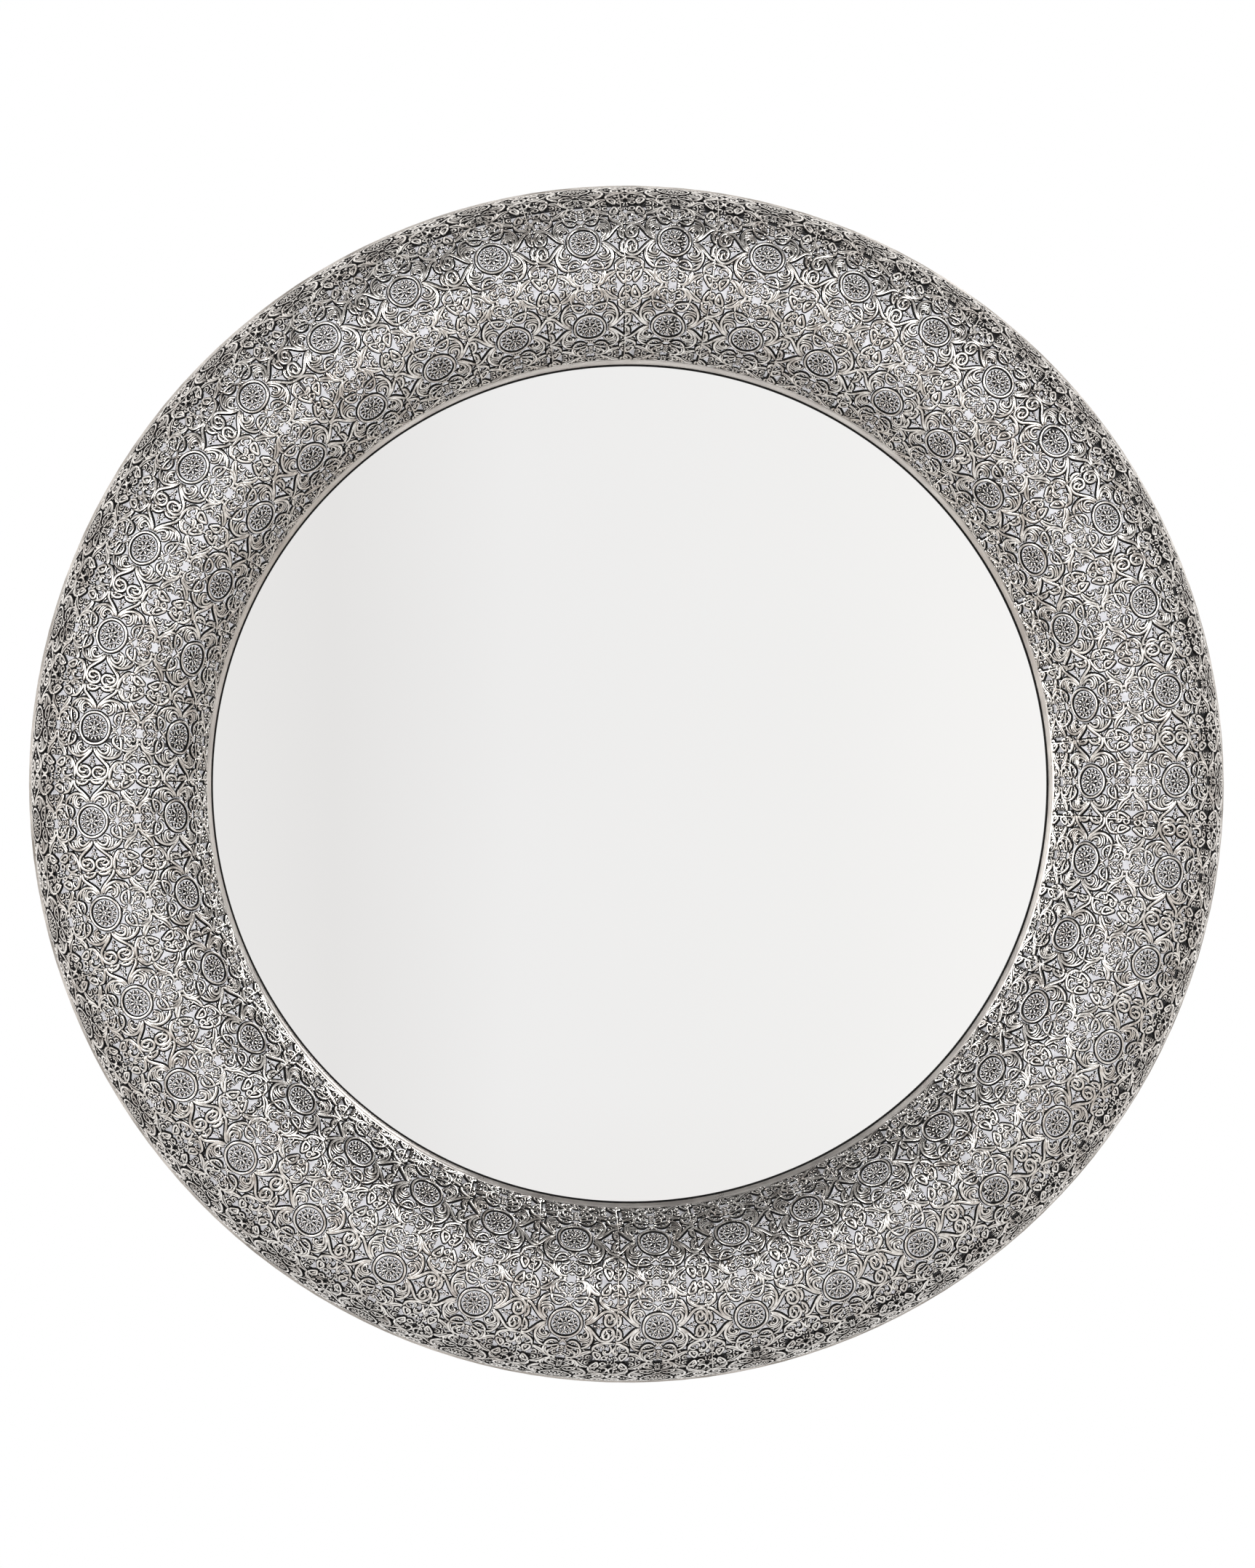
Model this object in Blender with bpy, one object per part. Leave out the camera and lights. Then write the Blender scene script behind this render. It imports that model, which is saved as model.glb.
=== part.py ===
"""Round wall mirror with a wide, hollow, half-round frame of embossed sheet-metal panels.

The mirror hangs upright: +Z is up, the glass faces -Y and the wall is the plane y = 0.
The origin is the centre of the wall plane. Depths are measured from the wall towards
the viewer, so a point at depth d lies at y = -d.
"""

import math

import bmesh
import bpy
from mathutils import Vector

MM = 0.001
GAP = 0.3 * MM

# Frame section: half an ellipse, which stands on a circle of radius CREST_RADIUS.
OUTER_RADIUS = 400.0 * MM
SECTION_HALF_WIDTH = 60.0 * MM
SECTION_HEIGHT = 75.0 * MM
CREST_RADIUS = OUTER_RADIUS - SECTION_HALF_WIDTH
SECTION_BASE = 2.0 * MM
FRAME_BACK = 6.0 * MM

# Gore panels: one embossed sheet per repeat of the ornament. The ring of panels closes with
# two that overlap their neighbours further, and so show less of their width.
PANEL_COUNT = 37
PANEL_PITCH = math.radians(9.789)
CLOSE_PANELS = (5, 6)
CLOSE_PITCH = (math.tau - (PANEL_COUNT - len(CLOSE_PANELS)) * PANEL_PITCH) / len(CLOSE_PANELS)
FIRST_PANEL_ANGLE = math.radians(0.2)
PANEL_UPPER_ANGLE = 0.55 * PANEL_PITCH
PANEL_THICKNESS = 1.2 * MM
PANEL_ARC_STEPS = 12
PANEL_WIDTH_STEPS = 2

# Back board.
BOARD_RADIUS = 398.1 * MM
BOARD_BACK = FRAME_BACK + GAP
BOARD_THICKNESS = 5.0 * MM
BOARD_FRONT = BOARD_BACK + BOARD_THICKNESS

# Rim band round the back edge of the frame.
RIM_THICKNESS = 1.5 * MM
RIM_HEIGHT = 8.0 * MM
RIM_FRONT = FRAME_BACK + RIM_HEIGHT

# Glass and the hoop that holds its edge.
GLASS_RADIUS = 281.2 * MM
GLASS_THICKNESS = 3.0 * MM
GLASS_BACK = BOARD_FRONT + GAP
GLASS_FRONT = GLASS_BACK + GLASS_THICKNESS
SIGHT_RADIUS = 279.0 * MM
HOOP_SKIRT_INNER = 281.6 * MM
HOOP_SKIRT_OUTER = 282.6 * MM
HOOP_LIP_BACK = GLASS_FRONT + GAP
HOOP_FRONT = 25.0 * MM
HOOP_FRONT_INNER = 282.7 * MM
HOOP_FRONT_OUTER = 284.0 * MM

# Ribs of round rod that carry the panels from inside.
RIB_COUNT = 8
RIB_START = math.radians(-4.6)
RIB_RADIUS = 1.5 * MM
RIB_INSET = 4.2 * MM
RIB_FOOT_DEPTH = BOARD_FRONT + 4 * GAP
RIB_SIDES = 8
RIB_STEPS = 12

# Hangers: a strap folded round the straight side of a D-shaped ring.
HANGER_X = 210.0 * MM
HANGER_Z = 170.0 * MM
STRAP_WIDTH = 14.0 * MM
STRAP_THICKNESS = 1.0 * MM
STRAP_LENGTH = 34.0 * MM
STRAP_LOOP_INNER = 1.6 * MM
STRAP_LOOP_END = math.radians(235.0)
STRAP_LOOP_STEPS = 12
STRAP_STANDOFF = GAP + STRAP_THICKNESS + STRAP_LOOP_INNER
HANGER_AXIS_DEPTH = BOARD_BACK - STRAP_STANDOFF
RING_WIRE_RADIUS = 1.3 * MM
RING_HALF_WIDTH = 10.0 * MM
RING_CORNER = 2.5 * MM
RING_ARM = 4.0 * MM
RING_BOW_STEPS = 10
RING_CORNER_STEPS = 3
RING_SIDES = 8

# Screws that hold the straps.
SCREW_DROP = 25.0 * MM
SCREW_SHANK_RADIUS = 1.6 * MM
SCREW_SHANK_LENGTH = 5.8 * MM
SCREW_HEAD_RADIUS = 3.5 * MM
SCREW_HEAD_HEIGHT = 2.0 * MM
SCREW_HOLE_RADIUS = SCREW_SHANK_RADIUS + GAP
PILOT_HOLE_DEPTH = 4.6 * MM
SCREW_SIDES = 12

# Rubber bumpers between the board and the wall.
BUMPER_COUNT = 4
BUMPER_CIRCLE = 360.0 * MM
BUMPER_BASE_RADIUS = 8.0 * MM
BUMPER_FACE_RADIUS = 6.5 * MM
BUMPER_SIDES = 16

RING_SEGMENTS = 3 * PANEL_COUNT
RIM_SEGMENTS = 4 * PANEL_COUNT
GLASS_SEGMENTS = 2 * PANEL_COUNT


def clear_scene():
    for old in list(bpy.data.objects):
        bpy.data.objects.remove(old, do_unlink=True)


def make_material(name, colour, roughness, metallic):
    material = bpy.data.materials.new(name)
    material.use_nodes = True
    shader = material.node_tree.nodes["Principled BSDF"]
    shader.inputs["Base Color"].default_value = (*colour, 1.0)
    shader.inputs["Roughness"].default_value = roughness
    shader.inputs["Metallic"].default_value = metallic
    return material


def mesh_from(bm, name, smooth_angle=None):
    """Turns a closed bmesh into a mesh whose faces point outwards."""
    bmesh.ops.recalc_face_normals(bm, faces=bm.faces)
    mesh = bpy.data.meshes.new(name)
    bm.to_mesh(mesh)
    bm.free()
    if smooth_angle is not None:
        mesh.shade_smooth()
        mesh.set_sharp_from_angle(angle=math.radians(smooth_angle))
    return mesh


def place(name, mesh, material, location=(0.0, 0.0, 0.0), angle=0.0, parent=None):
    """Adds an object, turned by an angle about the mirror's axis."""
    if not mesh.materials:
        mesh.materials.append(material)
    thing = bpy.data.objects.new(name, mesh)
    bpy.context.scene.collection.objects.link(thing)
    thing.location = location
    thing.rotation_euler = (0.0, -angle, 0.0)
    thing.parent = parent
    return thing


def polar(radius, angle, depth):
    """A point at a radius, an angle from +X towards +Z, and a depth from the wall."""
    return Vector((radius * math.cos(angle), -depth, radius * math.sin(angle)))


def turned_ring(name, profile, segments):
    """A ring turned about the mirror's axis from a closed profile of (radius, depth)."""
    bm = bmesh.new()
    loops = []
    for i in range(segments):
        angle = math.tau * i / segments
        loops.append([bm.verts.new(polar(r, angle, d)) for r, d in profile])
    count = len(profile)
    for i, loop in enumerate(loops):
        following = loops[(i + 1) % segments]
        for j in range(count):
            k = (j + 1) % count
            bm.faces.new((loop[j], loop[k], following[k], following[j]))
    return mesh_from(bm, name, 40)


def turned_plug(name, profile, segments):
    """A solid turned about its own Y axis from an open profile of (radius, y), with flat ends."""
    bm = bmesh.new()
    loops = []
    for radius, y in profile:
        loop = []
        for i in range(segments):
            angle = math.tau * i / segments
            point = (radius * math.cos(angle), y, radius * math.sin(angle))
            loop.append(bm.verts.new(point))
        loops.append(loop)
    for low, high in zip(loops, loops[1:]):
        for i in range(segments):
            j = (i + 1) % segments
            bm.faces.new((low[i], low[j], high[j], high[i]))
    bm.faces.new(loops[0])
    bm.faces.new(loops[-1])
    return mesh_from(bm, name, 40)


def swept_rod(name, path, radius, sides, side_axis, closed=False):
    """A round rod along a flat path. side_axis is the direction square to the path's plane."""
    bm = bmesh.new()
    loops = []
    last = len(path) - 1
    for i, point in enumerate(path):
        before = path[i - 1] if closed or i > 0 else path[i]
        after = path[(i + 1) % len(path)] if closed or i < last else path[i]
        tangent = (after - before).normalized()
        across = tangent.cross(side_axis)
        loop = []
        for j in range(sides):
            angle = math.tau * (j + 0.5) / sides
            offset = across * math.cos(angle) + side_axis * math.sin(angle)
            loop.append(bm.verts.new(point + offset * radius))
        loops.append(loop)
    pairs = list(zip(loops, loops[1:]))
    if closed:
        pairs.append((loops[-1], loops[0]))
    for near, far in pairs:
        for j in range(sides):
            k = (j + 1) % sides
            bm.faces.new((near[j], near[k], far[k], far[j]))
    if not closed:
        bm.faces.new(loops[0])
        bm.faces.new(loops[-1])
    return mesh_from(bm, name, 40)


def cut_hole(target, name, radius, centre, length):
    """Cuts a round hole along Y through target, with a hidden cutter object."""
    half = length / 2
    mesh = turned_plug(name, ((radius, -half), (radius, half)), SCREW_SIDES)
    cutter = bpy.data.objects.new(name, mesh)
    bpy.context.scene.collection.objects.link(cutter)
    cutter.location = centre
    cutter.hide_render = True
    cutter.display_type = "WIRE"
    hole = target.modifiers.new(name, "BOOLEAN")
    hole.operation = "DIFFERENCE"
    hole.object = cutter


def section_point(turn, inset):
    """(radius, depth) on the frame's section at a turn from its crest, outwards positive.

    The point lies inset under the surface, along the surface's normal.
    """
    across = SECTION_HALF_WIDTH * math.sin(turn)
    height = SECTION_HEIGHT * math.cos(turn)
    normal = Vector((math.sin(turn) / SECTION_HALF_WIDTH, math.cos(turn) / SECTION_HEIGHT))
    normal.normalize()
    return CREST_RADIUS + across - inset * normal.x, SECTION_BASE + height - inset * normal.y


def section_turn_at(depth):
    """How far the section turns from its crest down to a depth."""
    return math.acos((depth - SECTION_BASE) / SECTION_HEIGHT)


def panel_mesh(low_angle, high_angle):
    """One gore of the half-round shell between two angles, with its two long edges radial."""
    inner_end = section_turn_at(HOOP_FRONT + 2 * GAP)
    outer_end = section_turn_at(RIM_FRONT + GAP)
    bm = bmesh.new()
    skins = []
    for inset in (0.0, PANEL_THICKNESS):
        rows = []
        for i in range(PANEL_ARC_STEPS + 1):
            turn = -inner_end + (inner_end + outer_end) * i / PANEL_ARC_STEPS
            r, depth = section_point(turn, inset)
            margin = GAP / 2 / r
            row = []
            for j in range(PANEL_WIDTH_STEPS + 1):
                share = j / PANEL_WIDTH_STEPS
                angle = low_angle + margin + (high_angle - low_angle - 2 * margin) * share
                row.append(bm.verts.new(polar(r, angle, depth)))
            rows.append(row)
        skins.append(rows)
    top, bottom = skins
    for rows in skins:
        for i in range(PANEL_ARC_STEPS):
            for j in range(PANEL_WIDTH_STEPS):
                corners = (rows[i][j], rows[i][j + 1], rows[i + 1][j + 1], rows[i + 1][j])
                bm.faces.new(corners)
    for i in range(PANEL_ARC_STEPS):
        for j in (0, PANEL_WIDTH_STEPS):
            bm.faces.new((top[i][j], top[i + 1][j], bottom[i + 1][j], bottom[i][j]))
    for j in range(PANEL_WIDTH_STEPS):
        for i in (0, PANEL_ARC_STEPS):
            bm.faces.new((top[i][j], top[i][j + 1], bottom[i][j + 1], bottom[i][j]))
    return mesh_from(bm, "gore_panel", 40)


def build_panels(material):
    meshes = {
        pitch: panel_mesh(PANEL_UPPER_ANGLE - pitch, PANEL_UPPER_ANGLE)
        for pitch in (PANEL_PITCH, CLOSE_PITCH)
    }
    angle = FIRST_PANEL_ANGLE - PANEL_PITCH
    for i in range(PANEL_COUNT):
        pitch = CLOSE_PITCH if i in CLOSE_PANELS else PANEL_PITCH
        angle += pitch
        place(f"gore_panel_{i + 1:02d}", meshes[pitch], material, angle=angle)


def build_rim_band(material):
    inner = OUTER_RADIUS - RIM_THICKNESS
    profile = (
        (inner, FRAME_BACK),
        (OUTER_RADIUS, FRAME_BACK),
        (OUTER_RADIUS, RIM_FRONT),
        (inner, RIM_FRONT),
    )
    place("rim_band", turned_ring("rim_band", profile, RIM_SEGMENTS), material)


def build_glass_hoop(material):
    profile = (
        (HOOP_SKIRT_INNER, BOARD_FRONT + GAP),
        (HOOP_SKIRT_OUTER, BOARD_FRONT + GAP),
        (HOOP_SKIRT_OUTER, HOOP_LIP_BACK + 2.0 * MM),
        (HOOP_FRONT_OUTER, HOOP_FRONT),
        (HOOP_FRONT_INNER, HOOP_FRONT),
        (SIGHT_RADIUS + 0.3 * MM, HOOP_LIP_BACK + 1.0 * MM),
        (SIGHT_RADIUS, HOOP_LIP_BACK),
        (HOOP_SKIRT_INNER, HOOP_LIP_BACK),
    )
    place("glass_hoop", turned_ring("glass_hoop", profile, RING_SEGMENTS), material)


def build_glass(material):
    profile = ((GLASS_RADIUS, -GLASS_FRONT), (GLASS_RADIUS, -GLASS_BACK))
    place("mirror_glass", turned_plug("mirror_glass", profile, GLASS_SEGMENTS), material)


def build_board(material):
    profile = ((BOARD_RADIUS, -BOARD_FRONT), (BOARD_RADIUS, -BOARD_BACK))
    board = place("back_board", turned_plug("back_board", profile, RING_SEGMENTS), material)
    for side in (-1, 1):
        centre = (side * HANGER_X, -BOARD_BACK, HANGER_Z - SCREW_DROP)
        name = f"pilot_hole_cutter_{'left' if side < 0 else 'right'}"
        cut_hole(board, name, SCREW_HOLE_RADIUS, centre, 2 * PILOT_HOLE_DEPTH)


def build_ribs(material):
    end = section_turn_at(RIB_FOOT_DEPTH)
    path = []
    for i in range(RIB_STEPS + 1):
        r, depth = section_point(end * (2 * i / RIB_STEPS - 1), RIB_INSET)
        path.append(polar(r, 0.0, depth))
    mesh = swept_rod("support_rib", path, RIB_RADIUS, RIB_SIDES, Vector((0.0, 0.0, 1.0)))
    for i in range(RIB_COUNT):
        angle = RIB_START - math.tau * i / RIB_COUNT
        place(f"support_rib_{i + 1}", mesh, material, angle=angle)


def strap_mesh():
    """The strap in its own frame: the ring's axis is X, and the board lies towards -Y."""
    outer = STRAP_LOOP_INNER + STRAP_THICKNESS
    profile = [(-outer, -STRAP_LENGTH)]
    turns = [STRAP_LOOP_END * i / STRAP_LOOP_STEPS for i in range(STRAP_LOOP_STEPS + 1)]
    for turn in turns:
        profile.append((-outer * math.cos(turn), outer * math.sin(turn)))
    for turn in reversed(turns):
        profile.append((-STRAP_LOOP_INNER * math.cos(turn), STRAP_LOOP_INNER * math.sin(turn)))
    profile.append((-STRAP_LOOP_INNER, -STRAP_LENGTH))
    bm = bmesh.new()
    ends = []
    for x in (-STRAP_WIDTH / 2, STRAP_WIDTH / 2):
        ends.append([bm.verts.new((x, y, z)) for y, z in profile])
    near, far = ends
    for i in range(len(profile)):
        j = (i + 1) % len(profile)
        bm.faces.new((near[i], near[j], far[j], far[i]))
    caps = [bm.faces.new(near), bm.faces.new(far)]
    bmesh.ops.triangulate(bm, faces=caps)
    return mesh_from(bm, "hanger_strap", 30)


def ring_path():
    """The D ring's centre line, hanging from its straight side, which lies along X."""
    straight = RING_HALF_WIDTH - RING_CORNER
    right = []
    for i in range(RING_CORNER_STEPS + 1):
        turn = math.pi / 2 * (1 - i / RING_CORNER_STEPS)
        x = straight + RING_CORNER * math.cos(turn)
        right.append(Vector((x, 0.0, RING_CORNER * (math.sin(turn) - 1))))
    bow = []
    for i in range(RING_BOW_STEPS + 1):
        turn = -math.pi * i / RING_BOW_STEPS
        drop = -RING_CORNER - RING_ARM
        x = RING_HALF_WIDTH * math.cos(turn)
        bow.append(Vector((x, 0.0, drop + RING_HALF_WIDTH * math.sin(turn))))
    left = [Vector((-p.x, 0.0, p.z)) for p in reversed(right)]
    return right + bow + left


def screw_mesh():
    """A pan-head screw along Y. Its head's underside is at y = 0 and its point is at -Y."""
    profile = (
        (SCREW_SHANK_RADIUS * 0.3, -SCREW_SHANK_LENGTH),
        (SCREW_SHANK_RADIUS, -SCREW_SHANK_LENGTH + 1.4 * MM),
        (SCREW_SHANK_RADIUS, 0.0),
        (SCREW_HEAD_RADIUS, 0.0),
        (SCREW_HEAD_RADIUS, SCREW_HEAD_HEIGHT * 0.45),
        (SCREW_HEAD_RADIUS * 0.8, SCREW_HEAD_HEIGHT * 0.85),
        (SCREW_HEAD_RADIUS * 0.45, SCREW_HEAD_HEIGHT),
    )
    return turned_plug("hanger_screw", profile, SCREW_SIDES)


def build_hangers(steel):
    strap = strap_mesh()
    ring = swept_rod(
        "hanger_ring", ring_path(), RING_WIRE_RADIUS, RING_SIDES, Vector((0.0, 1.0, 0.0)), closed=True
    )
    screw = screw_mesh()
    for side, label in ((-1, "left"), (1, "right")):
        pivot = bpy.data.objects.new(f"hanger_axis_{label}", None)
        bpy.context.scene.collection.objects.link(pivot)
        pivot.location = (side * HANGER_X, -HANGER_AXIS_DEPTH, HANGER_Z)
        band = place(f"hanger_strap_{label}", strap.copy(), steel, parent=pivot)
        place(f"hanger_ring_{label}", ring, steel, parent=pivot)
        top_of_strap = -STRAP_LOOP_INNER + GAP
        place(f"hanger_screw_{label}", screw, steel, (0.0, top_of_strap, -SCREW_DROP), parent=pivot)
        hole = Vector((side * HANGER_X, -BOARD_BACK, HANGER_Z - SCREW_DROP))
        name = f"strap_hole_cutter_{label}"
        cut_hole(band, name, SCREW_HOLE_RADIUS, hole, 6.0 * STRAP_THICKNESS)


def build_bumpers(rubber):
    height = FRAME_BACK
    profile = (
        (BUMPER_BASE_RADIUS, -height),
        (BUMPER_BASE_RADIUS, -height * 0.7),
        (BUMPER_FACE_RADIUS + 0.6 * MM, -0.6 * MM),
        (BUMPER_FACE_RADIUS, 0.0),
    )
    mesh = turned_plug("wall_bumper", profile, BUMPER_SIDES)
    for i in range(BUMPER_COUNT):
        angle = math.tau * (i + 0.5) / BUMPER_COUNT
        place(f"wall_bumper_{i + 1}", mesh, rubber, polar(BUMPER_CIRCLE, angle, 0.0))


def build():
    clear_scene()
    silver = make_material("panel_silver", (0.72, 0.69, 0.66), 0.28, 1.0)
    band_silver = make_material("band_silver", (0.74, 0.71, 0.68), 0.3, 1.0)
    hoop_silver = make_material("hoop_silver", (0.78, 0.75, 0.72), 0.22, 1.0)
    glass = make_material("silvered_glass", (0.86, 0.87, 0.87), 0.02, 1.0)
    painted_board = make_material("painted_board", (0.62, 0.62, 0.66), 0.6, 0.0)
    dark_steel = make_material("dark_steel", (0.12, 0.12, 0.13), 0.5, 0.8)
    zinc_steel = make_material("zinc_steel", (0.62, 0.62, 0.6), 0.35, 1.0)
    rubber = make_material("rubber", (0.04, 0.04, 0.04), 0.8, 0.0)
    build_panels(silver)
    build_rim_band(band_silver)
    build_glass_hoop(hoop_silver)
    build_glass(glass)
    build_board(painted_board)
    build_ribs(dark_steel)
    build_hangers(zinc_steel)
    build_bumpers(rubber)


build()
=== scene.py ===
"""Looks of the round wall mirror: embossed openwork panels, hoop, glass, board and hangers.

Depths are measured from the wall towards the viewer: a point at depth d lies at y = -d.
Shapes are in millimetres. The camera, the lights, the floor and the grain of the materials
are in metres.
"""

import math

import bpy
import numpy as np
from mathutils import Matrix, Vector


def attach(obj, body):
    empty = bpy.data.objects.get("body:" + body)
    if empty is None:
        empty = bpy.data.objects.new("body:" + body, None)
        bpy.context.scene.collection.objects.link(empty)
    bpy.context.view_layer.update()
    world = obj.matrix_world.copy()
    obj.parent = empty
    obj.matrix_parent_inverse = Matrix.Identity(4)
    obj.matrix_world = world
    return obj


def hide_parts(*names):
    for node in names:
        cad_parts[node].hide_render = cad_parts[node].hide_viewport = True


MM = 0.001

# Frame section, the same as the panels': half an ellipse on a circle of radius CREST_RADIUS.
OUTER_RADIUS = 400.0
HALF_WIDTH = 60.0
HEIGHT = 75.0
CREST_RADIUS = OUTER_RADIUS - HALF_WIDTH
SECTION_BASE = 2.0
SECTION_LIMIT = 89.0
SECTION_SAMPLES = 3561

# The panels end just above the hoop on the inside and the rim band on the outside.
HOOP_FRONT = 20.0
HOOP_CLEARANCE = 0.8
RIM_FRONT = 14.0
RIM_CLEARANCE = 1.2

# Panels round the frame, the same as the gore panels. Two of them are narrower.
PANEL_COUNT = 37
PITCH = math.radians(9.789)
CLOSE_PANELS = (5, 6)
CLOSE_PITCH = (math.tau - (PANEL_COUNT - len(CLOSE_PANELS)) * PITCH) / len(CLOSE_PANELS)
FIRST_PANEL_ANGLE = math.radians(0.2)
UPPER_ANGLE = 0.55 * PITCH

# The ornament, laid out on the section's surface in repeats centred on a medallion.
RELIEF_INSET = 1.25
ROW_RADIUS_OUTER = 355.3
ROW_RADIUS_INNER = 300.0
CELL_HALF_U = 33.0
CELL_HALF_V = 30.75

# Widths and heights of the strokes, and how far their walls reach down.
MAIN = 3.6
MIDDLE = 3.1
FINE = 2.4
MAIN_HEIGHT = 0.95
FINE_HEIGHT = 0.7
SHEET_DROP = 0.55
LOWEST_SWELL = 0.35
SAMPLE_STEP = 0.35
SHARPEST_TURN = math.radians(15.0)
LONGEST_STEP = 1.9
SHORTEST_RUN = 0.8

# A stroke's end has this share of its width, and each point further in adds a share.
END_SHARE = 0.62
END_GROWTH = 0.2

# Section of a stroke: share of the half width, share of the height.
PROFILE = (
    (-1.0, -1.0), (-1.0, 0.0), (-0.41, 0.70), (0.0, 1.0), (0.41, 0.70), (1.0, 0.0), (1.0, -1.0),
)
# What the face after each point of the section is, and the material slot of each kind.
RIDGE, SLOPE, WALL, UNDER = 0, 1, 2, 3
PROFILE_PARTS = (WALL, SLOPE, RIDGE, RIDGE, SLOPE, WALL, UNDER)
# Slopes and walls share slot 1, the near-black painted shade of the flanks.
PART_SLOTS = (0, 1, 1, 2)
# Faces that close the end of a stroke, as points of the section.
END_QUADS = ((0, 1, 5, 6), (1, 2, 4, 5))
END_TIP = [2, 3, 4]

# Edges of a panel: (width, height, lean, kind of its top). The upper edge stands proud
# where it laps the next panel, and the lower one is a painted shadow line beside it, in
# the near-black flank material.
UPPER_EDGE = (1.3, 0.7, 0.012, RIDGE)
LOWER_EDGE = (1.4, 0.6, 0.0, SLOPE)
EDGE_POINTS = 90
# Belts at a panel's ends: (distance from the end, width, height).
INNER_BELT = (0.9, 2.0, 0.7)
OUTER_BELT = (1.0, 2.4, 0.6)
BELT_POINTS = 26

# Differences between one panel and the next, as pressed and set by hand.
HAND_SEED = 37
EDGE_SHIFT = 0.45
EDGE_LEAN = 0.5
EDGE_REACH = 90.0
SLIDE = 0.45
SLIDE_FADE = 10.0
# Waves that bend a panel's lines: (size, length in u, length in v).
SIDEWAYS_WAVES = ((0.3, math.inf, 9.0), (0.18, 6.0, 4.3))
LENGTHWAYS_WAVES = ((0.3, 8.0, math.inf), (0.15, 3.7, 5.0))
HEIGHT_WAVE = (0.10, 11.0, 13.0)

# Turned rings, as closed profiles of (radius, depth).
ROUND_SEGMENTS = 444
SHADE_RING_SEGMENTS = 222
SHARP_ANGLE = math.radians(40.0)
HOOP_PROFILE = (
    (280.1, 14.9), (280.1, 16.2), (280.3, 16.6), (280.6, 16.9), (280.9, 17.3), (281.7, 19.1),
    (282.1, 19.7), (282.6, 20.0), (283.1, 19.8), (283.2, 19.3), (282.6, 18.6), (282.6, 11.7),
    (281.7, 11.7), (281.7, 14.9),
)
# Near-black ring at the edge of the glass: a painted shadow line between the glass and the hoop.
SHADOW_BEAD_PROFILE = ((279.0, 14.8), (279.0, 15.4), (279.3, 15.8), (280.05, 15.9), (280.05, 14.8))
# Black ring over the board's edge inside the rim: painted shade for the dark corner there.
SHADE_RING_PROFILE = ((386.0, 11.5), (386.4, 12.0), (397.6, 12.0), (398.0, 11.5))

RIB_COUNT = 8
BUMPER_COUNT = 4

# Depths, in metres, between which the board turns from bare to painted, just behind its front.
BARE_DEPTH = 0.0109
PAINT_DEPTH = 0.0111

# Camera: a little left of the mirror's axis.
CAMERA_PLACE = (-0.17, -2.5, -0.012)
CAMERA_AIM = (-0.0046, -0.03, -0.0003)
LENS = 85.6
SENSOR_HEIGHT = 36.0
FARTHEST_SEEN = 50.0

# Soft lights, aimed at the middle of the mirror: (place, size, power).
KEY_LIGHT = ((1.6, -2.3, 1.5), (1.2, 1.2), 62.0)
FILL_LIGHT = ((-1.9, -2.1, 0.5), (1.0, 1.8), 55.0)

FLOOR_Z = -0.95
FLOOR_RADIUS = 1.2
FLOOR_SEGMENTS = 128

# Studio surroundings by direction, as the metal and the glass see them: (position, colour)
# from straight down to straight up, from left to right within SIDE_REACH of the middle, and
# from in front of the mirror to behind it.
WORLD_BY_HEIGHT = (
    (0.00, (0.60, 0.56, 0.52)),
    (0.35, (0.80, 0.76, 0.72)),
    (0.46, (0.91, 0.905, 0.90)),
    (0.64, (0.91, 0.905, 0.90)),
    (0.69, (0.06, 0.06, 0.06)),
    (0.78, (0.04, 0.04, 0.04)),
    (0.83, (0.85, 0.85, 0.85)),
    (0.86, (0.85, 0.85, 0.85)),
    (0.89, (0.05, 0.05, 0.05)),
    (1.00, (0.10, 0.10, 0.10)),
)
WORLD_BY_SIDE = (
    (0.00, (1.15, 1.14, 1.13)),
    (0.30, (1.0, 1.0, 1.0)),
    (0.48, (0.90, 0.895, 0.895)),
    (0.56, (0.975, 0.975, 0.98)),
    (0.70, (1.0, 1.0, 1.0)),
    (1.00, (1.15, 1.14, 1.13)),
)
SIDE_REACH = 0.3
WORLD_BEHIND = (
    (0.50, (1.25, 1.225, 1.20)),
    (0.75, (1.30, 1.28, 1.26)),
)
WORLD_BEHIND_MASK = (
    (0.41, (0.0, 0.0, 0.0)),
    (0.56, (1.0, 1.0, 1.0)),
)
# A darker corner of the room, in front of the mirror, high up and to the right: its direction,
# and the shades by how nearly a ray points at it.
DARK_CORNER = (0.53, -0.67, 0.52)
WORLD_DARK_CORNER = (
    (0.83, (1.0, 1.0, 1.0)),
    (0.965, (0.62, 0.62, 0.62)),
)
# White light on matt surfaces, and white behind the object in the picture.
DIFFUSE_STRENGTH = 4.3
BACKDROP_STRENGTH = 1.0

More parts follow.
